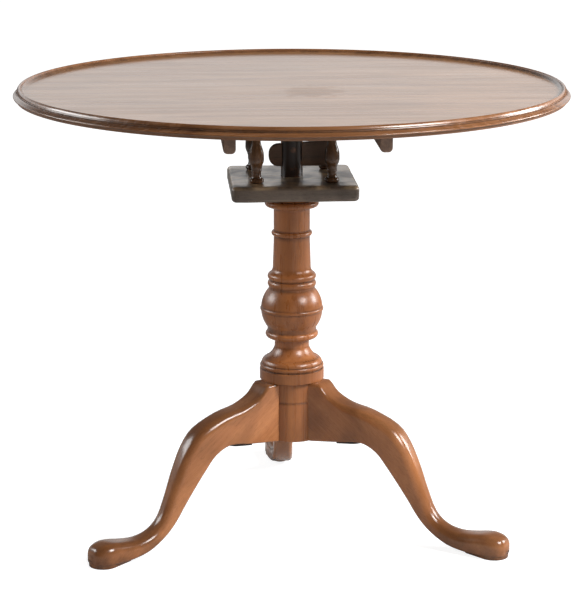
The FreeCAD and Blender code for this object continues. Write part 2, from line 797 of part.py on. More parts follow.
def make_brace(nail_holes):
    """Flat hub under the pillar, with an arm bent up along each leg to a wider, rounded end."""
    high = arch(brace_arm_reach)
    low = shaft_bottom - brace_thickness
    arm = brace_arm_width / 2
    palm = brace_palm_width / 2
    palm_start = brace_arm_reach - brace_palm_length
    palm_round = brace_arm_reach - palm
    outline = box(0, palm_round, -arm, arm, low, high)
    outline = outline.fuse(box(palm_start, palm_round, -palm, palm, low, high))
    outline = outline.fuse(upright(palm, low, high, palm_round, 0))
    bent = under_arch(brace_arm_reach, brace_thickness).common(outline)
    plate = upright(brace_hub_radius, low, shaft_bottom)
    for angle in leg_angles.values():
        plate = plate.fuse(turned_about_z(bent, angle))
    return plate.removeSplitter().cut(nail_holes)


def catch_front():
    return block_size / 2 + catch_setback


def make_catch_plate(screw_holes):
    front = catch_front()
    low = underside - catch_plate_thickness
    half = catch_plate_width / 2
    plate = box(-half, half, front, front + catch_plate_length, low, underside)
    return plate.cut(screw_holes)


def make_guides():
    """Two bridges under the plate that hold the bolt."""
    top = underside - catch_plate_thickness
    inner = bolt_width / 2 + bolt_clearance
    room = bolt_thickness + 2 * bolt_clearance
    outer = inner + guide_thickness
    front = catch_front() + guide_inset
    back = catch_front() + catch_plate_length - guide_inset - guide_length
    guides = []
    for start in (front, back):
        end = start + guide_length
        bridge = box(-outer, outer, start, end, top - room - guide_thickness, top)
        feet = box(-outer - guide_foot, outer + guide_foot, start, end, top - guide_thickness, top)
        way = box(-inner, inner, start, end, top - room, top)
        guides.append(bridge.fuse(feet).cut(way))
    return Part.makeCompound(guides)


def make_bolt():
    top = underside - catch_plate_thickness - bolt_clearance
    bottom = top - bolt_thickness
    nose = catch_front()
    half = bolt_width / 2
    corners = [
        FreeCAD.Vector(-half, nose + bolt_bevel, bottom),
        FreeCAD.Vector(-half, nose, bottom + bolt_bevel),
        FreeCAD.Vector(-half, nose, top),
        FreeCAD.Vector(-half, nose + bolt_length, top),
        FreeCAD.Vector(-half, nose + bolt_length, bottom),
    ]
    return Part.Face(Part.makePolygon(corners + [corners[0]])).extrude(X_AXIS * bolt_width)


def make_knob():
    """Turned knob under the bolt, between the guides."""
    top = underside - catch_plate_thickness - bolt_clearance - bolt_thickness
    stem_end = top - knob_stem_height
    knob_end = stem_end - knob_height
    widest = (knob_radius, (stem_end + knob_end) / 2)
    profile = [
        (0, knob_end),
        bow((0, knob_end), widest, knob_swell),
        bow(widest, (knob_stem_radius, stem_end), knob_swell),
        (knob_stem_radius, top),
        (0, top),
    ]
    place = FreeCAD.Vector(0, catch_front() + catch_plate_length / 2 + bolt_throw / 2, 0)
    return aimed(turned(profile), Z_AXIS, place)


def catch_screw(length, clearance):
    head_height = catch_screw_head_radius - catch_screw_radius
    return screw(length + clearance, catch_screw_radius + clearance,
                 catch_screw_head_radius + clearance, head_height)


def make_catch_screws(clearance):
    """Screws up through the plate's corners, or with a clearance their holes."""
    low = underside - catch_plate_thickness
    across = catch_plate_width / 2 - catch_screw_edge
    middle = catch_front() + catch_plate_length / 2
    along = catch_plate_length / 2 - catch_screw_edge
    shape = catch_screw(catch_screw_length, clearance)
    places = [(side * across, middle + end * along) for side in (-1, 1) for end in (-1, 1)]
    return Part.makeCompound([aimed(shape, Z_AXIS, FreeCAD.Vector(x, y, low)) for x, y in places])


def make_keeper(screw_holes):
    return keeper_box().cut(bolt_room(0)).cut(screw_holes)


def make_keeper_screws(clearance):
    shape = catch_screw(keeper_screw_length, clearance)
    height = underside - keeper_drop - keeper_height / 2
    places = [FreeCAD.Vector(side * keeper_screw_spacing / 2, block_size / 2, height) for side in (-1, 1)]
    return Part.makeCompound([aimed(shape, -Y_AXIS, place) for place in places])


def main():
    os.makedirs("parts", exist_ok=True)
    nail_holes = make_nail_holes()
    batten_holes = make_batten_screws(nail_clearance)
    catch_holes = make_catch_screws(nail_clearance)
    keeper_holes = make_keeper_screws(nail_clearance)

    save("pillar", make_pillar(nail_holes))
    leg = make_leg()
    for name, angle in leg_angles.items():
        save(name, turned_about_z(leg, angle).cut(nail_holes))
    save("brace", make_brace(nail_holes))
    save("brace_nails", make_nails())

    save("cage_key", make_key())
    save("cage_lower_block", make_lower_block())
    save("cage_upper_block", make_upper_block(keeper_holes))
    names = ("baluster_front_left", "baluster_front_right", "baluster_back_right", "baluster_back_left")
    for name, (x, y) in zip(names, baluster_places()):
        save(name, aimed(make_baluster(), Z_AXIS, FreeCAD.Vector(x, y, 0)))

    save("table_top", make_table_top(batten_holes.fuse(catch_holes)))
    save("batten_left", make_batten(-1, batten_holes))
    save("batten_right", make_batten(1, batten_holes))
    save("batten_screws", make_batten_screws(0))

    save("catch_plate", make_catch_plate(catch_holes))
    save("catch_guides", make_guides())
    save("catch_screws", make_catch_screws(0))
    save("catch_bolt", make_bolt())
    save("catch_knob", make_knob())
    save("catch_keeper", make_keeper(keeper_holes))
    save("keeper_screws", make_keeper_screws(0))


main()
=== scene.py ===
import json
import math
import bmesh
import bpy
from mathutils import Matrix, Vector


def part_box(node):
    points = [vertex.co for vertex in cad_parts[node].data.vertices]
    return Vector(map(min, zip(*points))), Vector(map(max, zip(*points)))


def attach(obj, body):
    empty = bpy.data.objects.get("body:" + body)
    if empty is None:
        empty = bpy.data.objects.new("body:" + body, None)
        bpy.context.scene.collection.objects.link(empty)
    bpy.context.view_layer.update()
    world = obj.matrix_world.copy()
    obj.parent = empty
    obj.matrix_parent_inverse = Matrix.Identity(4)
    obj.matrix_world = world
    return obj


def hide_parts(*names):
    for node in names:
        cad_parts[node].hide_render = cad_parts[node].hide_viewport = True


# A round tray-top tea table on a birdcage, a turned pillar and three cabriole legs.
# Shapes are drawn in millimetres and stand in the model's own frame: +Z is up, -Y is the front.

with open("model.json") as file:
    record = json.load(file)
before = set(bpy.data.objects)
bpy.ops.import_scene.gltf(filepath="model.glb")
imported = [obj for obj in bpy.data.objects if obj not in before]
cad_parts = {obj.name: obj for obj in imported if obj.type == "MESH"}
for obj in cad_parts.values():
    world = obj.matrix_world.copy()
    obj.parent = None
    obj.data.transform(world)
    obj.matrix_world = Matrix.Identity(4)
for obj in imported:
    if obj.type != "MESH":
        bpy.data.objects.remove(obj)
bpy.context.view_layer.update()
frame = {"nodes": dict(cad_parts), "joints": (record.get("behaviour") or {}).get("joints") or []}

MM = 0.001
FULL_TURN = 2 * math.pi
SAME = 2e-6                  # metres; two points this close are one
Y, Z = 1, 2                  # places of the axes in a point
DOWN = (0, 0, -1)
BACK = (0, 1, 0)


# Places that the frame gives, in millimetres

def corners_of(node):
    """Lowest and highest corner of a node's box."""
    low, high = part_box(node)
    return low / MM, high / MM


tray_low, tray_high = corners_of("table_top")
crest = tray_high.z
underside = tray_low.z
tray_radius = tray_high.x
block_low, block_high = corners_of("cage_lower_block")
upper_block_low = corners_of("cage_upper_block")[0]
baluster_low, baluster_high = corners_of("baluster_front_left")
baluster_x = -(baluster_low.x + baluster_high.x) / 2
pillar_low, pillar_high = corners_of("pillar")
shaft_foot = pillar_low.z
key_low, key_high = corners_of("cage_key")
leg_high = corners_of("leg_back")[1]
leg_top = leg_high.z
leg_reach = leg_high.y
tilt = next(joint for joint in frame["joints"] if joint["name"] == "top_tilt")
pintle_y = tilt["pos_m"][1] / MM
pintle_z = tilt["pos_m"][2] / MM


# Sizes that more than one piece needs, and places of screw heads, in millimetres

spindle_radius = 17.0
tenon_radius = 6.1
key_taper = 5.0              # the key's top falls by this to its small end
leg_angles = {"leg_back": 90.0, "leg_left": 212.0, "leg_right": 328.0}
leg_width = 42.0
leg_seat = 40.4              # flat end of the leg from the pillar's axis
batten_x = 110.0
batten_screws_y = (-310.0, -130.0, 130.0, 310.0)
batten_screws_z = underside - 21.0
catch_screws_x = 12.0
catch_screws_y = (105.5, 145.5)
catch_plate_face = underside - 3.0
keeper_screws_x = 11.0
keeper_screws_z = 683.0
keeper_face = 97.5


# Outlines for the lathe, as (radius, height) points

def bow(start, end, sag, pieces=6):
    """Points of an arc after start, up to end; a positive sag bulges to the right of the way."""
    start = Vector(start)
    end = Vector(end)
    run = end - start
    half = run.length / 2
    right = Vector((run.y, -run.x)).normalized()
    radius = (half ** 2 + sag ** 2) / (2 * sag)
    centre = (start + end) / 2 + right * (sag - radius)
    turn = 4 * math.atan(sag / half)
    points = []
    for step in range(1, pieces + 1):
        spoke = Matrix.Rotation(turn * step / pieces, 2) @ (start - centre)
        points.append(tuple(centre + spoke))
    return points


def arc(start, end, sag, pieces=6):
    """An arc with both its ends."""
    return [start] + bow(start, end, sag, pieces)


def bead(root, radius, z0, z1):
    """Half-round ring from z0 to z1, its foot at the root radius."""
    return arc((root, z0), (root, z1), radius - root, 10)


def scribed_line(radius, height, depth, width):
    """Fine line cut into a turned surface."""
    return [
        (radius, height - width / 2),
        (radius - depth, height),
        (radius, height + width / 2),
    ]


def eased(outline):
    """Adds points near the ends of long straight runs, so that wax and shading stay in the corner."""
    step = 3.0
    points = [Vector(outline[0])]
    for end in outline[1:]:
        start = points[-1]
        end = Vector(end)
        run = end - start
        if run.length > 3 * step:
            points.append(start + run.normalized() * step)
            points.append(end - run.normalized() * step)
        points.append(end)
    return [tuple(point) for point in points]


# Modelling

def pick_none():
    """Leaves edit mode with nothing selected."""
    if bpy.context.mode != "OBJECT":
        bpy.ops.object.mode_set(mode="OBJECT")
    bpy.ops.object.select_all(action="DESELECT")


def take_up(piece):
    """Makes one piece the only one selected."""
    pick_none()
    piece.select_set(True)
    bpy.context.view_layer.objects.active = piece


def pick(piece, kind, wanted):
    """In edit mode: selects the vertices or edges that are wanted."""
    bpy.ops.mesh.select_mode(type=kind)
    bpy.ops.mesh.select_all(action="DESELECT")
    mesh = bmesh.from_edit_mesh(piece.data)
    parts = {"VERT": mesh.verts, "EDGE": mesh.edges}[kind]
    for part in parts:
        if wanted(part):
            part.select_set(True)
    mesh.select_flush_mode()
    bmesh.update_edit_mesh(piece.data)


def runs_along(edge, axis):
    """Whether an edge has any length along an axis."""
    one, other = edge.verts
    return abs(one.co[axis] - other.co[axis]) > SAME


def round_edges(piece, wanted, radius, segments):
    """In edit mode: rounds the edges that are wanted."""
    pick(piece, "EDGE", wanted)
    bpy.ops.mesh.bevel(offset=radius * MM, segments=segments)


def close_up():
    """In edit mode: joins the seams of a shape and turns its faces outwards."""
    bpy.ops.mesh.select_all(action="SELECT")
    bpy.ops.mesh.remove_doubles(threshold=SAME)
    bpy.ops.mesh.normals_make_consistent(inside=False)


def smooth_off(piece, sharp_above=38.0):
    """Shades a piece smooth, apart from edges that turn by more than an angle."""
    take_up(piece)
    bpy.ops.object.shade_smooth_by_angle(angle=math.radians(sharp_above))


def apply_modifier(piece, kind, **settings):
    """Adds a modifier to a piece and applies it at once."""
    take_up(piece)
    modifier = piece.modifiers.new(kind.title(), kind)
    for key, value in settings.items():
        setattr(modifier, key, value)
    bpy.ops.object.modifier_apply(modifier=modifier.name)


def cut_out(piece, cutter):
    """Takes the cutter's shape out of a piece, and throws the cutter away."""
    apply_modifier(piece, "BOOLEAN", operation="DIFFERENCE", object=cutter, solver="EXACT")
    bpy.data.objects.remove(cutter)


def settle(piece):
    """Moves an object's place and turn into its mesh."""
    take_up(piece)
    bpy.ops.object.transform_apply(location=True, rotation=True, scale=True)


def turn_on_lathe(name, outline, steps=128):
    """Spins an outline round the upright axis."""
    pick_none()
    points = [Vector((radius * MM, 0, height * MM)) for radius, height in outline]
    bpy.ops.mesh.primitive_plane_add(size=MM, location=points[0])
    piece = bpy.context.object
    piece.name = name
    settle(piece)
    bpy.ops.object.mode_set(mode="EDIT")
    bpy.ops.mesh.select_mode(type="VERT")
    bpy.ops.mesh.select_all(action="SELECT")
    bpy.ops.mesh.merge(type="CENTER")
    for before, after in zip(points, points[1:]):
        bpy.ops.mesh.extrude_vertices_move(TRANSFORM_OT_translate={"value": after - before})
    bpy.ops.mesh.select_all(action="SELECT")
    bpy.ops.mesh.spin(steps=steps, angle=FULL_TURN, center=(0, 0, 0), axis=(0, 0, 1))
    close_up()
    smooth_off(piece)
    return piece


def block_of(name, low, high):
    """Plain block between two corners."""
    pick_none()
    bpy.ops.mesh.primitive_cube_add(size=1, location=(low + high) / 2 * MM)
    piece = bpy.context.object
    piece.name = name
    bpy.ops.transform.resize(value=(high - low) * MM)
    settle(piece)
    return piece


def drill(radius, start, end, steps=48):
    """Cutter for a round hole from start to end."""
    pick_none()
    start = Vector(start) * MM
    end = Vector(end) * MM
    run = end - start
    bpy.ops.mesh.primitive_cylinder_add(vertices=steps, radius=radius * MM, depth=run.length,
                                        end_fill_type="NGON")
    bit = bpy.context.object
    bit.rotation_euler = run.to_track_quat("Z", "Y").to_euler()
    bit.location = (start + end) / 2
    settle(bit)
    return bit


def copy_of(piece, name, x=0.0, y=0.0):
    """Copy with its own mesh, moved on the floor plan."""
    take_up(piece)
    bpy.ops.object.duplicate(linked=False)
    twin = bpy.context.object
    twin.name = name
    twin.location = (x * MM, y * MM, 0)
    settle(twin)
    return twin


def set_values(piece, name, values):
    """Stores one number for each vertex."""
    attribute = piece.data.attributes.new(name, "FLOAT", "POINT")
    attribute.data.foreach_set("value", values)


def note_grime(piece, outline, reach=1.3):
    """Stores how deep in a groove each point of a turned piece lies, for the dark wax there."""
    points = [Vector(point) for point in outline]
    hollows = [0.0] * len(points)
    for index in range(1, len(points) - 1):
        way_in = (points[index] - points[index - 1]).normalized()
        way_out = (points[index + 1] - points[index]).normalized()
        hollows[index] = max(0.0, way_in.y * way_out.x - way_in.x * way_out.y)
    depths = {}
    for here in points:
        depth = 0.0
        for hollow, there in zip(hollows, points):
            depth += hollow * math.exp(-((here - there).length / reach) ** 2)
        depths[(round(here.x, 1), round(here.y, 1))] = min(1.0, depth)
    values = []
    for vertex in piece.data.vertices:
        radius = math.hypot(vertex.co.x, vertex.co.y) / MM
        values.append(depths.get((round(radius, 1), round(vertex.co.z / MM, 1)), 0.0))
    set_values(piece, "wax_and_shade", values)


# Tray top

def tray_outline():
    """Underside of the board, moulded rim, and tray floor, from the middle out and back."""
    inner_ring = 200.0           # a ring of points in the flat of the board
    tray_floor = crest - 6.0
    crest_outer = tray_radius - 8.0
    crest_inner = crest_outer - 3.6
    crest_foot = crest - 0.9
    ovolo_end = (crest_outer + 2.0, crest_foot - 3.8)
    upper_bead = (ovolo_end[0] - 0.7, ovolo_end[1] - 0.7)
    cove_foot = (upper_bead[0], upper_bead[1] - 2.4)
    bead_half = 1.4
    bead_middle = crest - 12.8
    bead_foot = (tray_radius - bead_half, bead_middle - bead_half)
    bead_head = (tray_radius - bead_half, bead_middle + bead_half)
    undercut = (tray_radius - 5.0, underside)
    floor_edge = (crest_inner - 6.0, tray_floor)
    outline = [(0, underside), (inner_ring, underside)]
    outline += arc(undercut, bead_foot, -1.0, 5)
    outline += bow(bead_foot, bead_head, 1.39, 8)
    outline += bow(bead_head, cove_foot, -0.6, 5)
    outline += bow(cove_foot, upper_bead, 0.45, 5)
    outline += arc(ovolo_end, (crest_outer, crest_foot), 0.3)
    outline += bow((crest_outer, crest_foot), (crest_inner, crest_foot), 0.9, 8)
    outline += bow((crest_inner, crest_foot), floor_edge, -1.2, 8)
    outline += [(inner_ring, tray_floor), (0, tray_floor)]
    return outline


def make_tray():
    outline = eased(tray_outline())
    tray = turn_on_lathe("tray_top", outline, 224)
    note_grime(tray, outline, 0.9)
    rim_start = tray_radius - 17.0
    rim_full = tray_radius - 12.0
    cove_start = crest - 5.5
    cove_shade = 0.7
    rim = []
    for vertex, wax in zip(tray.data.vertices, tray.data.attributes["wax_and_shade"].data):
        radius = vertex.co.to_2d().length / MM
        share = (radius - rim_start) / (rim_full - rim_start)
        rim.append(min(1.0, max(0.0, share)))
        # Painted shade on the rim's inner cove, stored with the wax of the grooves
        if rim_start < radius < rim_full and vertex.co.z > cove_start * MM:
            wax.value = cove_shade
    set_values(tray, "rim", rim)
    return tray


# Pillar

def pillar_outline():
    """The pillar from its foot to the end of its spindle."""
    hub, drum, edge = 45.5, 51.0, 0.8
    waist, ring, neck, shaft, collar = 27.3, 38.5, 35.2, 28.4, 41.0
    drum_z = leg_top + 17.0
    ovolo_z = leg_top + 25.2
    cove_z = ovolo_z + 9.0
    waist_z = cove_z + 18.5
    ring_z = waist_z + 15.0
    seat = block_low.z
    outline = [(0, shaft_foot), (hub - edge, shaft_foot), (hub, shaft_foot + edge)]
    outline += scribed_line(hub, 208.0, 0.2, 0.8)
    outline += [(hub, leg_top), (drum - edge, leg_top), (drum, leg_top + edge)]
    outline += [(drum, drum_z - edge), (drum - edge, drum_z), (49.0, drum_z)]
    outline += bead(49.0, 50.5, leg_top + 18.6, ovolo_z)
    outline += arc((48.2, ovolo_z), (43.0, cove_z), 1.4)
    outline += arc((42.0, cove_z), (waist, waist_z), -2.2, 8)
    outline += arc((waist, waist_z + 10.0), (30.3, ring_z), -0.8)
    outline += arc((ring, ring_z), (ring, ring_z + 10.5), 3.2, 10)
    outline += ball_outline(ring_z + 16.5, ring, 36.3)
    first_ring = outline[-1][1] + 3.5
    second_ring = first_ring + 11.2
    outline += arc((36.3, first_ring), (neck, first_ring + 10.4), 2.4, 10)
    outline += arc((neck, second_ring), (neck, second_ring + 10.4), 3.0, 10)
    shaft_foot_z = second_ring + 19.4
    shaft_top = shaft_foot_z + 44.0
    outline += bow(outline[-1], (30.0, shaft_foot_z), -1.3)
    outline += [(shaft, shaft_top)]
    outline += bead(shaft, 32.0, shaft_top + 7.0, shaft_top + 15.2)
    outline += arc((shaft, seat - 29.0), (31.4, seat - 24.0), -0.8)
    outline += arc((37.3, seat - 24.0), (37.3, seat - 14.0), 4.99, 10)
    outline += arc((33.0, seat - 14.0), (collar, seat - 6.0), -1.5)
    outline += [(collar, seat), (spindle_radius, seat), (spindle_radius, block_high.z + 6.0)]
    outline += [(spindle_radius, pillar_high.z - 1.5), (spindle_radius - 1.5, pillar_high.z)]
    outline += [(0, pillar_high.z)]
    return outline


def ball_outline(foot, foot_radius, neck_radius):
    """The ball, with a scratched bead round its middle."""
    radius = 48.7
    bead_half = 3.0
    steps = 10
    drop = math.sqrt(radius ** 2 - foot_radius ** 2)
    rise = math.sqrt(radius ** 2 - neck_radius ** 2)
    middle = foot + drop
    points = []
    for step in range(steps + 1):
        height = -drop + (drop - bead_half) * step / steps
        points.append((math.sqrt(radius ** 2 - height ** 2), middle + height))
    points += bow(points[-1], (points[-1][0], middle + bead_half), 1.4, 8)
    for step in range(1, steps + 1):
        height = bead_half + (rise - bead_half) * step / steps
        points.append((math.sqrt(radius ** 2 - height ** 2), middle + height))
    return points


def make_pillar():
    outline = eased(pillar_outline())
    pillar = turn_on_lathe("turned_pillar", outline)
    note_grime(pillar, outline)
    # Above the lower block the spindle is darkened, more towards the top
    least_darkening, most_darkening, darkening_run = 1.6, 2.1, 100
    for vertex, wax in zip(pillar.data.vertices, pillar.data.attributes["wax_and_shade"].data):
        above = vertex.co.z / MM - block_high.z
        if above > 0:
            wax.value = min(most_darkening, least_darkening + above / darkening_run)
    cut_out(pillar, key_slot())
    seat_low = Vector((leg_seat, -leg_width / 2, shaft_foot - 1))
    outside = 60.0
    seat_high = Vector((outside, leg_width / 2, leg_top))
    for angle in leg_angles.values():
        seat = block_of("leg_seat", seat_low, seat_high)
        seat.rotation_euler.z = math.radians(angle)
        settle(seat)
        cut_out(pillar, seat)
    smooth_off(pillar)
    return pillar


def key_slot():
    """Cutter for the slot that the key slides in."""
    clearance = 0.3
    grow = Vector((0, clearance, clearance))
    slot = block_of("key_slot", key_low - grow, key_high + grow)
    lean_key(slot)
    return slot


def lean_key(piece):
    """Lowers the top of the key's small end."""
    take_up(piece)
    bpy.ops.object.mode_set(mode="EDIT")
    middle = (key_low + key_high) / 2 * MM
    pick(piece, "VERT", lambda point: point.co.z > middle.z and point.co.x < middle.x)
    bpy.ops.transform.translate(value=(0, 0, -key_taper * MM))
    bpy.ops.object.mode_set(mode="OBJECT")


def make_key():
    key = block_of("cage_key_board", key_low, key_high)
    lean_key(key)
    bpy.ops.object.mode_set(mode="EDIT")
    small_end = (key_low.x + 1) * MM

    def on_small_end(edge):
        return runs_along(edge, Y) and all(point.co.x < small_end for point in edge.verts)

    round_edges(key, on_small_end, 14.5, 10)
    round_edges(key, lambda edge: not runs_along(edge, Y), 1.4, 3)
    close_up()
    bpy.ops.object.mode_set(mode="OBJECT")
    smooth_off(key)
    return key


# Birdcage

def bores(low, high):
    """Cutters for the spindle's bore and the balusters' tenon holes."""
    clearance = 0.3
    bits = [drill(spindle_radius + clearance, (0, 0, low), (0, 0, high), 64)]
    for x in (-baluster_x, baluster_x):
        for y in (-baluster_x, baluster_x):
            bits.append(drill(tenon_radius, (x, y, low), (x, y, high)))
    return bits


def make_lower_block():
    """The square block, its edges worn round and its faces planed by hand."""
    block = block_of("birdcage_lower_block", block_low, block_high)
    bpy.ops.object.mode_set(mode="EDIT")
    round_edges(block, lambda edge: runs_along(edge, Z), 9.0, 6)
    round_edges(block, lambda edge: not runs_along(edge, Z), 6.0, 6)
    pitch = 10.5
    for step in range(-8, 9):
        for across in ((1, 0, 0), (0, 1, 0)):
            bpy.ops.mesh.select_all(action="SELECT")
            bpy.ops.mesh.bisect(plane_co=Vector(across) * step * pitch * MM, plane_no=across)
    close_up()
    bpy.ops.object.mode_set(mode="OBJECT")
    planed = bpy.data.textures.new("hand_planed", "CLOUDS")
    planed.noise_scale = 0.035
    apply_modifier(block, "DISPLACE", texture=planed, strength=0.9 * MM, mid_level=0.5,
                   texture_coords="LOCAL")
    for bit in bores(block_low.z - 5, block_high.z + 5):
        cut_out(block, bit)
    smooth_off(block)
    return block


def baluster_outline():
    """A baluster with its tenons: ring, neck, belly, throat and ring."""
    low = block_high.z
    high = upper_block_low.z
    tenon, ring, ring_height = 6.0, 8.0, 8.2
    neck = (7.8, low + 18.5)
    belly = (11.6, low + 39.5)
    throat = (6.4, low + 70.0)
    lower_turn = ((neck[0] + belly[0]) / 2, (neck[1] + belly[1]) / 2)
    upper_turn = ((throat[0] + belly[0]) / 2, (throat[1] + belly[1]) / 2)
    outline = [(0, block_low.z), (tenon, block_low.z), (tenon, low)]
    outline += arc((ring, low), (ring, low + ring_height), 3.4, 10)
    outline += bow((ring, low + ring_height), neck, -1.0)
    outline += bow(neck, lower_turn, -0.8)
    outline += bow(lower_turn, belly, 0.8)
    outline += bow(belly, upper_turn, 0.8)
    outline += bow(upper_turn, throat, -0.8)
    outline += bow(throat, (ring, high - ring_height), -1.6, 8)
    outline += bow((ring, high - ring_height), (ring, high), 4.0, 10)
    outline += [(tenon, high), (tenon, underside), (0, underside)]
    return outline


def make_balusters():
    outline = baluster_outline()
    first = turn_on_lathe("baluster", outline, 48)
    note_grime(first, outline)
    balusters = {}
    for place in ("front_left", "front_right", "back_right", "back_left"):
        node = "baluster_" + place
        low, high = corners_of(node)
        middle = (low + high) / 2
        balusters[node] = copy_of(first, "turned_" + node, middle.x, middle.y)
    bpy.data.objects.remove(first)
    return balusters


# Legs

arch_slope = math.tan(math.radians(6.0))


def arch(reach):
    """Height of the straight underside, which rises from the pillar."""
    return shaft_foot + (reach - leg_seat) * arch_slope


leg_sections = [
    # upper and lower outline as (reach, height), width, radius of the upper and of the lower corners
    ((leg_seat, leg_top), (leg_seat, shaft_foot), leg_width, 5.0, 2.5),
    ((58.0, leg_top), (58.0, arch(58.0)), leg_width, 5.5, 2.5),
    ((75.0, 223.0), (73.0, arch(73.0)), leg_width, 7.0, 2.5),
    ((103.0, 210.5), (98.0, arch(98.0)), leg_width, 9.5, 2.5),
    ((140.0, 203.5), (132.0, arch(132.0)), leg_width, 12.0, 3.0),
    ((183.0, 186.0), (158.0, 143.0), leg_width, 13.5, 4.0),
    ((206.0, 161.0), (175.0, 122.5), 40.0, 14.0, 6.0),
    ((225.0, 124.0), (193.0, 97.0), 37.0, 15.0, 8.0),
    ((239.0, 89.0), (210.5, 71.5), 34.0, 15.0, 9.0),
    ((254.0, 56.0), (229.5, 44.0), 32.0, 14.0, 9.0),
    ((273.0, 38.5), (252.0, 24.0), 33.0, 13.0, 8.0),
    ((296.0, 31.5), (281.0, 10.0), 37.0, 12.0, 6.0),
    ((320.0, 32.5), (314.0, 5.0), 43.0, 13.0, 4.0),
    ((340.0, 35.5), (340.0, 5.0), 47.0, 14.0, 3.0),
    ((354.0, 36.0), (354.0, 5.0), 48.0, 15.0, 3.0),
    ((368.0, 33.0), (368.0, 5.0), 39.8, 14.0, 3.0),
    ((375.0, 27.0), (375.0, 5.5), 26.0, 9.0, 3.0),
    ((leg_reach - 1.4, 20.0), (leg_reach - 1.4, 8.5), 14.0, 5.0, 2.0),
]
pad_toe_radius = 23.0
pad_heel_radius = 12.0
pad_length = 71.0
pad_height = 7.0
pad_edge = 1.0
toe_steps = ((1.6, 0.9), (1.8, 0.5))     # how far the toe's end goes in and out, twice
corner_steps = 6
least_flat = 0.8             # what two rounded corners leave between them


def flat_numbers(section):
    """One row of numbers for a section."""
    upper, lower, width, crown, arris = section
    return (*upper, *lower, width, crown, arris)


def between(sections, share):
    """Section at a share of the way along the second of three steps, on a smooth curve through four."""
    values = []
    for a, b, c, d in zip(*[flat_numbers(section) for section in sections]):
        slope_b = (c - a) / 2
        slope_c = (d - b) / 2
        t2 = share * share
        t3 = t2 * share
        values.append((2 * t3 - 3 * t2 + 1) * b + (t3 - 2 * t2 + share) * slope_b
                      + (3 * t2 - 2 * t3) * c + (t3 - t2) * slope_c)
    return values


def fine_sections():
    """The drawn sections, with more between them on a smooth curve."""
    steps = 3
    last = len(leg_sections) - 1
    sections = [flat_numbers(leg_sections[0]), flat_numbers(leg_sections[1])]
    for index in range(1, last):
        four = [leg_sections[min(index + offset, last)] for offset in (-1, 0, 1, 2)]
        for step in range(1, steps + 1):
            sections.append(between(four, step / steps))
    return sections


def on_drawing_plane(point):
    """Whether a point lies flat at the origin's height, where sections are drawn and pads stand."""
    return abs(point.co.z) < SAME


def draw_section(leg, numbers):
    """In edit mode: draws one rounded section flat at the origin, then stands it in its place."""
    upper_reach, upper_height, lower_reach, lower_height, width, crown, arris = numbers
    rise = Vector((upper_reach - lower_reach, 0, upper_height - lower_height)) * MM
    middle = Vector((upper_reach + lower_reach, 0, upper_height + lower_height)) * MM / 2
    depth = rise.length / MM
    crown = min(crown, width / 2 - least_flat, depth - arris - least_flat)
    bpy.ops.mesh.select_all(action="DESELECT")
    bpy.ops.mesh.primitive_plane_add(size=1)
    bpy.ops.transform.resize(value=(rise.length, width * MM, 1), center_override=(0, 0, 0))
    for end, radius in ((rise.length / 2, crown), (-rise.length / 2, arris)):
        pick(leg, "VERT", lambda point: on_drawing_plane(point) and abs(point.co.x - end) < SAME)
        bpy.ops.mesh.bevel(offset=radius * MM, segments=corner_steps, affect="VERTICES")
    pick(leg, "VERT", on_drawing_plane)
    bpy.ops.mesh.delete(type="ONLY_FACE")
    pick(leg, "VERT", on_drawing_plane)
    lean = math.atan2(rise.z, rise.x)
    bpy.ops.transform.rotate(value=lean, orient_axis="Y", center_override=(0, 0, 0))
    bpy.ops.transform.translate(value=middle)


def number_section(leg, number):
    """In edit mode: gives the section that was drawn last its number."""
    mesh = bmesh.from_edit_mesh(leg.data)
    layer = mesh.verts.layers.int.get("section") or mesh.verts.layers.int.new("section")
    for point in mesh.verts:
        if point[layer] == 0:
            point[layer] = number
    bmesh.update_edit_mesh(leg.data)


def pick_sections(leg, *numbers):
    """In edit mode: selects the sections that have these numbers."""
    layer = bmesh.from_edit_mesh(leg.data).verts.layers.int["section"]
    pick(leg, "VERT", lambda point: point[layer] in numbers)


def make_first_leg():
    """One leg along +X, with the pad under its foot."""
    pick_none()
    bpy.ops.mesh.primitive_plane_add(size=MM)
    leg = bpy.context.object
    leg.name = "cabriole_leg"
    bpy.ops.object.mode_set(mode="EDIT")
    bpy.ops.mesh.select_all(action="SELECT")
    bpy.ops.mesh.delete(type="VERT")
    sections = fine_sections()
    for number, numbers in enumerate(sections, start=1):
        draw_section(leg, numbers)
        number_section(leg, number)
        if number > 1:
            pick_sections(leg, number - 1, number)
            bpy.ops.mesh.bridge_edge_loops()
    pick_sections(leg, 1)
    bpy.ops.mesh.edge_face_add()
    pick_sections(leg, len(sections))
    bpy.ops.mesh.edge_face_add()
    bpy.ops.mesh.normals_make_consistent(inside=False)
    for thickness, depth in toe_steps:
        bpy.ops.mesh.inset(thickness=thickness * MM, depth=depth * MM)
    add_pad(leg)
    close_up()
    bpy.ops.object.mode_set(mode="OBJECT")
    smooth_off(leg, 50.0)
    return leg


def add_pad(leg):
    """In edit mode: the thin pad under the foot, round at the toe and narrower at the heel."""
    layer = bmesh.from_edit_mesh(leg.data).verts.layers.int["section"]
    toe = leg_reach - 1.0
    heel = toe - pad_length
    rounds = ((toe - pad_toe_radius, pad_toe_radius), (heel + pad_heel_radius, pad_heel_radius))
    for place, radius in rounds:
        middle = Vector((place, 0, pad_height / 2)) * MM
        bpy.ops.mesh.primitive_cylinder_add(vertices=64, radius=radius * MM, depth=pad_height * MM,
                                            location=middle)
    above = (pad_height + 0.5) * MM

    def on_pad(point):
        return point[layer] == 0 and point.co.z < above

    pick(leg, "VERT", on_pad)
    bpy.ops.mesh.convex_hull()
    pick(leg, "VERT", on_pad)
    bpy.ops.mesh.dissolve_limited(angle_limit=math.radians(0.5))
    round_edges(leg, lambda edge: all(on_drawing_plane(point) for point in edge.verts), pad_edge, 3)


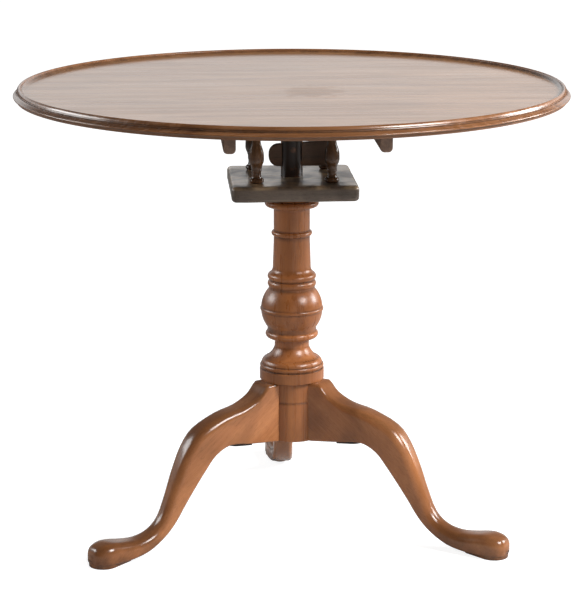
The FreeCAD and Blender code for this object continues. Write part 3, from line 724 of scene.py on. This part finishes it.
def note_plank(leg, shift):
    """Stores each point's place in the plank that the leg was sawn from."""
    attribute = leg.data.attributes.new("plank", "FLOAT_VECTOR", "POINT")
    places = []
    for vertex in leg.data.vertices:
        places.extend(vertex.co + Vector(shift))
    attribute.data.foreach_set("vector", places)


def make_legs():
    first = make_first_leg()
    # Painted shade: the legs darken towards the floor
    most_floor_shade, floor_shade_height = 0.9, 26 * MM
    wax_and_shade = [most_floor_shade * math.exp(-vertex.co.z / floor_shade_height) for vertex in first.data.vertices]
    set_values(first, "wax_and_shade", wax_and_shade)
    shifts = {"leg_back": (0.4, 0.1, 0), "leg_left": (1.3, 0.3, 0.2), "leg_right": (2.6, 0.6, 0.5)}
    legs = {}
    for node, angle in leg_angles.items():
        leg = copy_of(first, "cabriole_" + node)
        note_plank(leg, shifts[node])
        leg.rotation_euler.z = math.radians(angle)
        settle(leg)
        legs[node] = leg
    bpy.data.objects.remove(first)
    return legs


# Pieces that keep the shape of their node, with softened edges

def softened(node, name, edge):
    """Copy of a node with its points joined and its sharp edges eased."""
    pick_none()
    twin = frame["nodes"][node].copy()
    twin.data = twin.data.copy()
    twin.name = name
    twin.parent = None
    for key in list(twin.keys()):
        del twin[key]
    bpy.context.scene.collection.objects.link(twin)
    take_up(twin)
    bpy.ops.object.mode_set(mode="EDIT")
    bpy.ops.mesh.select_all(action="SELECT")
    bpy.ops.mesh.remove_doubles(threshold=SAME)
    bpy.ops.mesh.dissolve_limited(angle_limit=math.radians(1.0))
    bpy.ops.object.mode_set(mode="OBJECT")
    if edge:
        apply_modifier(twin, "BEVEL", width=edge * MM, segments=2, limit_method="ANGLE",
                       angle_limit=math.radians(40))
    smooth_off(twin, 35.0)
    return twin


def make_batten(node, name):
    """Batten under the top, its lower edge rounded, with the pintle's hole and its screws' wells."""
    pintle_hole, screw_well = 9.25, 4.3
    low, high = corners_of(node)
    batten = block_of(name, low, high)
    bpy.ops.object.mode_set(mode="EDIT")

    def on_lower_edge(edge):
        return runs_along(edge, Y) and all(point.co.z < (low.z + 1) * MM for point in edge.verts)

    round_edges(batten, on_lower_edge, 6.5, 6)
    round_edges(batten, lambda edge: not runs_along(edge, Y), 1.5, 3)
    close_up()
    bpy.ops.object.mode_set(mode="OBJECT")
    left = (low.x - 2, pintle_y, pintle_z)
    right = (high.x + 2, pintle_y, pintle_z)
    cut_out(batten, drill(pintle_hole, left, right))
    middle = (low + high) / 2
    for y in batten_screws_y:
        cut_out(batten, drill(screw_well, (middle.x, y, low.z - 2), (middle.x, y, batten_screws_z), 32))
    smooth_off(batten)
    return batten


def make_screws(node, name, heads, face, radius):
    """Screws with a driver's slot cut in each head; face is the way that the heads look."""
    screws = softened(node, name, 0)
    reach = Vector((radius * 1.3, radius * 0.14, radius * 0.28))
    turn_apart = 0.9
    for number, head in enumerate(heads):
        slot = block_of("driver_slot", -reach, reach)
        slot.rotation_euler.z = number * turn_apart
        settle(slot)
        slot.rotation_euler = Vector((0, 0, 1)).rotation_difference(Vector(face)).to_euler()
        slot.location = Vector(head) * MM
        settle(slot)
        cut_out(screws, slot)
    smooth_off(screws, 35.0)
    return screws


# Finishes

def new_finish(name):
    """A material with its node tree and its shader."""
    material = bpy.data.materials.new(name)
    material.use_nodes = True
    return material, material.node_tree, material.node_tree.nodes["Principled BSDF"]


def feed(tree, socket, value):
    """Sets a socket to a value, or links it to another socket."""
    if isinstance(value, bpy.types.NodeSocket):
        tree.links.new(value, socket)
    else:
        socket.default_value = value


def add_node(tree, kind, inputs=None, **settings):
    """Shader node with its settings, its inputs set or linked."""
    made = tree.nodes.new("ShaderNode" + kind)
    for key, value in settings.items():
        setattr(made, key, value)
    for key, value in (inputs or {}).items():
        feed(tree, made.inputs[key], value)
    return made


def tones(tree, factor, stops):
    """Colour ramp through (place, colour) stops."""
    ramp = add_node(tree, "ValToRGB", {"Fac": factor})
    elements = ramp.color_ramp.elements
    while len(elements) < len(stops):
        elements.new(0.5)
    for element, (place, colour) in zip(elements, stops):
        element.position = place
        element.color = (*colour, 1)
    return ramp.outputs["Color"]


def streaks(tree, grain, stretch, detail, distortion=0.0):
    """Noise drawn out along the grain; stretch gives the noise cells per metre along X, Y and Z."""
    fitted = add_node(tree, "Mapping", {"Vector": grain, "Scale": stretch})
    noise = add_node(tree, "TexNoise", {
        "Vector": fitted.outputs["Vector"], "Scale": 1.0, "Detail": detail, "Distortion": distortion,
    })
    return noise.outputs["Fac"]


def blended(tree, factor, first, second, mode="MIX"):
    """Mixes two colours."""
    mix = add_node(tree, "Mix", data_type="RGBA", blend_type=mode)
    for number, value in ((0, factor), (6, first), (7, second)):
        feed(tree, mix.inputs[number], value)
    return mix.outputs[2]


def reckon(tree, operation, first, second):
    """Works out one number from two."""
    return add_node(tree, "Math", {0: first, 1: second}, operation=operation).outputs[0]


def times(tree, first, second):
    """One number times another."""
    return reckon(tree, "MULTIPLY", first, second)


def spread(tree, value, low, high, to_low=0.0, to_high=1.0):
    """Stretches the values between low and high."""
    return add_node(tree, "MapRange", {
        "Value": value, "From Min": low, "From Max": high, "To Min": to_low, "To Max": to_high,
    }).outputs["Result"]


# How the grain is turned from X
ALONG_X = (0, 0, 0)
ALONG_Y = (0, 0, -math.pi / 2)
ALONG_Z = (0, math.pi / 2, 0)
DOWN_THE_LEG = (0, math.radians(-38), 0)

# Dark brown of old wax in pores, stains and grooves, also used for painted shade
WAX_AND_SHADE_BROWN = (0.020, 0.010, 0.006, 1)
NOISE = (0.3, 0.7)           # between these lies most of a noise
# The normal's rise where a face starts to look that way, and where it fully does
LOOKS_UP = (0.1, 0.7)
LOOKS_DOWN = (-0.7, -0.95)
HANGS_OVER = (-0.05, -0.5)
DUST_AND_SHEEN_COVER = 0.8             # most that the pale top colour, dust and painted sheen, hides of the colour
RIM_POLISH = 0.04            # what the rim is smoother than the board
STAIN_COVER = 0.08
STAIN_SHINE = 0.6            # share of the shine that a stain leaves
BARE_ROUGHNESS = 0.35        # what bare wood is rougher than polished wood
COAT_ROUGHNESS = 0.14
RELIEF = 0.0004              # metres, for waves of height 1
WAVES = 1.6
PORE_DEPTH = 0.05


def wood_figure(tree, grain, figure_cells):
    """The wood's marks: all mixed for its tone, then the growth lines and the pores alone."""
    along, across = figure_cells
    figure = streaks(tree, grain, (along, across, across), 3.0, 0.6)
    lines = streaks(tree, grain, (4, 150, 150), 4.0, 0.3)
    fine = streaks(tree, grain, (18, 700, 700), 3.0)
    pores = streaks(tree, grain, (110, 1500, 1500), 1.0)
    broad = reckon(tree, "ADD", times(tree, figure, 0.58), times(tree, lines, 0.30))
    mixed = reckon(tree, "ADD", broad, times(tree, fine, 0.12))
    return mixed, lines, spread(tree, pores, 0.56, 0.68)


def spot_at(tree, place, stain, patchy):
    """A ragged spot, given by its middle and half its size: 1 inside and 0 outside."""
    middle, half = stain
    inside = add_node(tree, "Mapping", {"Vector": place, "Location": middle, "Scale": half},
                      vector_type="TEXTURE")
    away = add_node(tree, "VectorMath", {0: inside.outputs["Vector"]}, operation="LENGTH")
    ragged = reckon(tree, "ADD", away.outputs["Value"], spread(tree, patchy, *NOISE, -0.35, 0.35))
    return spread(tree, ragged, 0.8, 1.0, 1.0, 0.0)


def wood(name, stops, turn, own_grain=False, roughness=(0.25, 0.35), wax_share=0.8, pore_share=0.4,
         coat=0.0, bump=0.1, mottle=0.3, dust_and_sheen=None, raw_below=None, rim=None, stain=None,
         painted_shade_above=None, figure_cells=(2.2, 16)):
    """Old polished wood: broad figure, growth lines, fine grain, pores, and dark wax in the grooves; the
    same dark colour also paints shade where a piece stores it.

    The grain runs along X after the turn; own_grain takes the plank's own place in its board.
    figure_cells are the broad figure's cells per metre, along and across the grain.
    A pale colour, partly dust and partly painted sheen, lies on the faces that look up, a raw one on
    those that look down, and a rim has its own tones. A stain is a faint darker patch, given by its
    middle and half its size.
    Faces that look up are darkened by a share, where one is given; this is painted shade.
    The coat is uneven. Where a pale top colour is given, the coat is full under it and a quarter
    elsewhere; a stain dulls it, and raw wood has none.
    """
    material, tree, shader = new_finish(name)
    coordinates = add_node(tree, "TexCoord")
    if own_grain:
        place = add_node(tree, "Attribute", attribute_name="plank").outputs["Vector"]
    else:
        place = coordinates.outputs["Object"]
    up = add_node(tree, "SeparateXYZ", {"Vector": coordinates.outputs["Normal"]}).outputs["Z"]
    grain = add_node(tree, "Mapping", {"Vector": place, "Rotation": turn}).outputs["Vector"]
    mixed, lines, pore = wood_figure(tree, grain, figure_cells)
    patchy = streaks(tree, place, (60, 60, 60), 3.0)
    age = streaks(tree, place, (11, 11, 11), 5.0, 0.8)
    aged = spread(tree, age, 0.35, 0.65, 1 - mottle, 1 + mottle / 2)
    colour = tones(tree, mixed, stops)
    colour = blended(tree, times(tree, pore, pore_share), colour, WAX_AND_SHADE_BROWN)
    colour = blended(tree, 1.0, colour, aged, "MULTIPLY")
    rough = spread(tree, lines, *NOISE, *roughness)
    shine = spread(tree, mixed, 0.40, 0.60, 0.86 * coat, 1.14 * coat) if coat else 0.0
    # Painted shade on faces that look up
    if painted_shade_above:
        shade_on_top = spread(tree, up, *LOOKS_UP, 1.0, painted_shade_above)
        colour = blended(tree, 1.0, colour, shade_on_top, "MULTIPLY")
    # Dust and painted sheen: a pale colour on faces that look up, with the coat fullest under it
    if dust_and_sheen:
        top_patches = spread(tree, streaks(tree, place, (24, 24, 24), 8.0, 0.5), 0.38, 0.64)
        dust_and_sheen_share = times(tree, spread(tree, up, *LOOKS_UP), top_patches)
        colour = blended(tree, times(tree, dust_and_sheen_share, DUST_AND_SHEEN_COVER), colour, (*dust_and_sheen, 1))
        shine = spread(tree, dust_and_sheen_share, 0.0, 1.0, coat / 4, coat)
    if rim:
        moulding = add_node(tree, "Attribute", attribute_name="rim").outputs["Fac"]
        colour = blended(tree, moulding, colour, tones(tree, mixed, rim))
        rough = reckon(tree, "SUBTRACT", rough, times(tree, moulding, RIM_POLISH))
    if stain:
        spot = spot_at(tree, place, stain, patchy)
        colour = blended(tree, times(tree, spot, STAIN_COVER), colour, WAX_AND_SHADE_BROWN)
        shine = times(tree, shine, spread(tree, spot, 0.0, 1.0, 1.0, STAIN_SHINE))
    if raw_below:
        colour = blended(tree, spread(tree, up, *LOOKS_DOWN), colour, tones(tree, mixed, raw_below))
        bare = spread(tree, up, *HANGS_OVER)
        rough = reckon(tree, "ADD", rough, times(tree, bare, BARE_ROUGHNESS))
        shine = times(tree, shine, spread(tree, bare, 0.0, 1.0, 1.0, 0.0))
    # Dark wax in the grooves, and painted shade where a piece stores it: the tray's inner cove and the
    # legs near the floor. The spindle above the lower block is darkened too.
    wax_and_shade = add_node(tree, "Attribute", attribute_name="wax_and_shade").outputs["Fac"]
    wax_and_shade_cover = times(tree, wax_and_shade, spread(tree, patchy, 0.3, 0.6, wax_share / 2, wax_share))
    colour = blended(tree, wax_and_shade_cover, colour, WAX_AND_SHADE_BROWN)
    uneven = streaks(tree, place, (45, 45, 45), 2.0)
    relief = reckon(tree, "SUBTRACT", times(tree, uneven, WAVES), times(tree, pore, PORE_DEPTH))
    raised = add_node(tree, "Bump", {"Strength": bump, "Distance": RELIEF, "Height": relief})
    tree.links.new(colour, shader.inputs["Base Color"])
    tree.links.new(rough, shader.inputs["Roughness"])
    tree.links.new(raised.outputs["Normal"], shader.inputs["Normal"])
    feed(tree, shader.inputs["Coat Weight"], shine)
    shader.inputs["Coat Roughness"].default_value = COAT_ROUGHNESS
    return material


def worn_metal(name, stops, metallic, roughness):
    """Old metal with darker patches and fine scratches."""
    material, tree, shader = new_finish(name)
    place = add_node(tree, "TexCoord").outputs["Object"]
    patches = streaks(tree, place, (90, 90, 90), 5.0, 0.4)
    tree.links.new(tones(tree, patches, stops), shader.inputs["Base Color"])
    tree.links.new(spread(tree, patches, *NOISE, *roughness), shader.inputs["Roughness"])
    scratches = streaks(tree, place, (300, 3000, 3000), 2.0)
    raised = add_node(tree, "Bump", {"Strength": 0.2, "Distance": 0.0002, "Height": scratches})
    tree.links.new(raised.outputs["Normal"], shader.inputs["Normal"])
    shader.inputs["Metallic"].default_value = metallic
    return material


# Tones as (place in the figure, colour)
red_brown = [(0.36, (0.23, 0.076, 0.022)), (0.50, (0.32, 0.110, 0.033)), (0.64, (0.40, 0.145, 0.046))]
leg_brown = [(0.36, (0.36, 0.134, 0.048)), (0.50, (0.42, 0.164, 0.062)), (0.64, (0.48, 0.198, 0.080))]
tray_brown = [(0.40, (0.24, 0.108, 0.043)), (0.50, (0.30, 0.142, 0.058)), (0.60, (0.352, 0.172, 0.074))]
raw_brown = [(0.38, (0.115, 0.068, 0.041)), (0.50, (0.14, 0.084, 0.050)), (0.62, (0.165, 0.100, 0.060))]
grey_brown = [(0.38, (0.076, 0.052, 0.036)), (0.50, (0.138, 0.098, 0.07)), (0.62, (0.205, 0.147, 0.105))]
batten_brown = [(0.38, (0.14, 0.086, 0.06)), (0.50, (0.235, 0.146, 0.104)), (0.62, (0.33, 0.208, 0.148))]
near_black = [(0.38, (0.06, 0.033, 0.02)), (0.50, (0.108, 0.058, 0.033)), (0.62, (0.165, 0.088, 0.05))]
rim_brown = [(0.36, (0.16, 0.062, 0.023)), (0.50, (0.22, 0.091, 0.034)), (0.64, (0.27, 0.117, 0.048))]
dark_brown = [(0.38, (0.06, 0.029, 0.013)), (0.50, (0.112, 0.053, 0.024)), (0.62, (0.175, 0.082, 0.037))]

pillar_finish = wood("pillar_polish", red_brown, ALONG_Z, roughness=(0.25, 0.34), wax_share=0.75,
                     pore_share=0.14, mottle=0.2)
# The legs' faces that look up get painted shade
leg_finish = wood("leg_polish", leg_brown, DOWN_THE_LEG, own_grain=True, roughness=(0.16, 0.23),
                  pore_share=0.22, painted_shade_above=0.55)
tray_finish = wood("tray_polish", tray_brown, ALONG_X, figure_cells=(4, 45), coat=0.52, mottle=0.1,
                   pore_share=0.2, raw_below=raw_brown, rim=rim_brown,
                   stain=((0.027, -0.05, 0.705), (0.052, 0.062, 0.02)))
# The block's pale top is partly dust and partly painted sheen
block_finish = wood("cage_block_wood", grey_brown, ALONG_X, roughness=(0.26, 0.45), coat=0.58, bump=0.7,
                    mottle=0.5, dust_and_sheen=(0.70, 0.50, 0.30))
upper_block_finish = wood("cage_head_wood", grey_brown, ALONG_X, roughness=(0.4, 0.55), mottle=0.4)
batten_finish = wood("batten_wood", batten_brown, ALONG_Y, roughness=(0.6, 0.75))
baluster_finish = wood("baluster_polish", dark_brown, ALONG_Z, roughness=(0.18, 0.28))
key_finish = wood("key_wood", near_black, ALONG_X, roughness=(0.45, 0.6))
iron_finish = worn_metal("wrought_iron", [
    (0.35, (0.018, 0.014, 0.012)), (0.55, (0.05, 0.042, 0.036)), (0.7, (0.11, 0.055, 0.028)),
], 0.7, (0.45, 0.7))
brass_finish = worn_metal("old_brass", [
    (0.3, (0.20, 0.125, 0.04)), (0.5, (0.46, 0.32, 0.11)), (0.7, (0.62, 0.46, 0.19)),
], 1.0, (0.28, 0.5))
steel_finish = worn_metal("screw_steel", [
    (0.3, (0.07, 0.06, 0.05)), (0.5, (0.2, 0.19, 0.18)), (0.7, (0.32, 0.3, 0.28)),
], 1.0, (0.3, 0.55))


# The table, piece by piece

def stand_in(piece, finish, body, slot, *nodes):
    """Gives a piece its finish and its body, and lets it stand for its nodes."""
    piece.data.materials.clear()
    piece.data.materials.append(finish)
    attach(piece, body)
    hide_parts(*nodes)


stand_in(make_tray(), tray_finish, "top", "top_wood", "table_top")
stand_in(make_pillar(), pillar_finish, "pedestal", "table_wood", "pillar")
for node, leg in make_legs().items():
    stand_in(leg, leg_finish, "pedestal", "table_wood", node)
for node, baluster in make_balusters().items():
    stand_in(baluster, baluster_finish, "cage", "dark_wood", node)
stand_in(make_lower_block(), block_finish, "cage", "cage_wood", "cage_lower_block")
stand_in(softened("cage_upper_block", "birdcage_upper_block", 0.8), upper_block_finish,
         "cage", "cage_wood", "cage_upper_block")
stand_in(make_key(), key_finish, "key", "dark_wood", "cage_key")
for side in ("left", "right"):
    batten = make_batten("batten_" + side, "top_batten_" + side)
    stand_in(batten, batten_finish, "top", "cage_wood", "batten_" + side)

stand_in(softened("brace", "iron_brace", 0.5), iron_finish, "pedestal", "iron", "brace")
stand_in(softened("brace_nails", "clout_nails", 0), iron_finish, "pedestal", "iron", "brace_nails")
heads = [(x, y, batten_screws_z) for x in (-batten_x, batten_x) for y in batten_screws_y]
stand_in(make_screws("batten_screws", "slotted_batten_screws", heads, DOWN, 4.2), steel_finish,
         "top", "steel", "batten_screws")
for node, body in (("catch_plate", "top"), ("catch_guides", "top"), ("catch_bolt", "bolt"),
                   ("catch_knob", "bolt"), ("catch_keeper", "cage")):
    stand_in(softened(node, "brass_" + node, 0.35), brass_finish, body, "brass", node)
heads = [(x, y, catch_plate_face) for x in (-catch_screws_x, catch_screws_x) for y in catch_screws_y]
stand_in(make_screws("catch_screws", "brass_catch_screws", heads, DOWN, 3.0), brass_finish,
         "top", "brass", "catch_screws")
heads = [(x, keeper_face, keeper_screws_z) for x in (-keeper_screws_x, keeper_screws_x)]
stand_in(make_screws("keeper_screws", "brass_keeper_screws", heads, BACK, 3.0), brass_finish,
         "cage", "brass", "keeper_screws")


# Floor, light and camera

def make_floor():
    """Plain pale floor that can be seen through from below.

    Near the table the lamps make up part of its white, so that it shows the shadow.
    """
    near, far, near_white = 0.8, 2.5, 0.86
    white_in_polish = 0.1
    grey = (0.4, 0.4, 0.4, 1)
    pick_none()
    bpy.ops.mesh.primitive_plane_add(size=40)
    floor = bpy.context.object
    floor.name = "studio_floor"
    material, tree, shader = new_finish("pale_floor")
    tree.nodes.remove(shader)
    rays = add_node(tree, "LightPath").outputs
    place = add_node(tree, "TexCoord").outputs["Object"]
    away = add_node(tree, "VectorMath", {0: place}, operation="LENGTH").outputs["Value"]
    to_eye = times(tree, rays["Is Camera Ray"], spread(tree, away, near, far, near_white, 1.0))
    in_polish = reckon(tree, "MAXIMUM", rays["Is Glossy Ray"], rays["Is Transmission Ray"])
    seen = reckon(tree, "MAXIMUM", to_eye, times(tree, in_polish, white_in_polish))
    dull = add_node(tree, "BsdfDiffuse", {"Color": grey})
    white = add_node(tree, "Emission", {"Strength": seen})
    bright = add_node(tree, "AddShader", {0: dull.outputs[0], 1: white.outputs[0]})
    clear = add_node(tree, "BsdfTransparent")
    below = add_node(tree, "NewGeometry").outputs["Backfacing"]
    both = add_node(tree, "MixShader", {0: below, 1: bright.outputs[0], 2: clear.outputs[0]})
    tree.links.new(both.outputs[0], tree.nodes["Material Output"].inputs["Surface"])
    floor.data.materials.append(material)


def make_sky(level, front_gloss, back_gloss):
    """White to the camera; in reflections a low band, white behind the table and grey in front of it."""
    world = bpy.data.worlds.new("studio")
    world.use_nodes = True
    tree = world.node_tree
    tree.nodes.clear()
    rays = add_node(tree, "LightPath").outputs
    way = add_node(tree, "SeparateXYZ", {"Vector": add_node(tree, "TexCoord").outputs["Generated"]})
    rise = way.outputs["Z"]
    band_foot, band_head, above_band = (0.02, 0.10), (0.22, 0.40), 0.15
    low_band = times(tree, spread(tree, rise, *band_foot),
                     spread(tree, rise, *band_head, 1.0, above_band))
    behind = spread(tree, way.outputs["Y"], -0.3, 0.5, front_gloss, back_gloss)
    gloss = times(tree, low_band, behind)
    strength = blended(tree, rays["Is Glossy Ray"], (level, level, level, 1), gloss)
    strength = blended(tree, rays["Is Camera Ray"], strength, (1, 1, 1, 1))
    light = add_node(tree, "Background", {"Color": strength, "Strength": 1.0})
    out = add_node(tree, "OutputWorld")
    tree.links.new(light.outputs[0], out.inputs["Surface"])
    bpy.context.scene.world = world


def add_lamp(name, way, distance, size, power, in_polish=True, on_wood=True):
    """Softbox that lies that way from the pillar's ball and looks at it.

    It can be left out of the reflections in the polish, or out of the light on the wood.
    """
    pick_none()
    ball = Vector((0, 0, 0.36))
    way = Vector(way).normalized()
    bpy.ops.object.light_add(type="AREA", location=ball + way * distance)
    lamp = bpy.context.object
    lamp.name = name
    lamp.rotation_euler = way.to_track_quat("Z", "Y").to_euler()
    lamp.data.shape = "RECTANGLE"
    lamp.data.size, lamp.data.size_y = size
    lamp.data.energy = power
    lamp.visible_glossy = in_polish
    lamp.visible_diffuse = on_wood


make_floor()
make_sky(0.12, 0.05, 1.0)
add_lamp("left_softbox", (-0.90, 0.17, 0.40), 3.0, (1.6, 0.9), 36)
add_lamp("left_sheen", (-0.90, 0.17, 0.40), 3.0, (1.6, 0.9), 55, on_wood=False)
add_lamp("right_softbox", (0.74, -0.32, 0.59), 3.0, (0.7, 0.9), 112, in_polish=False)
add_lamp("right_sheen", (0.60, -0.54, 0.59), 3.0, (1.1, 1.0), 85, on_wood=False)
add_lamp("far_right_softbox", (0.93, 0.17, 0.33), 3.0, (1.2, 0.9), 58)
add_lamp("front_fill", (0.25, -0.95, 0.10), 3.2, (1.6, 1.2), 20, in_polish=False)

bpy.ops.object.camera_add(
    location=(-0.2247, -3.4122, 1.1999),
    rotation=(math.radians(76.30), 0, math.radians(-3.8)),
)
camera = bpy.context.object
camera.data.lens = 133.6
camera.data.sensor_width = 36
bpy.context.scene.camera = camera
bpy.context.scene.view_settings.view_transform = "Standard"
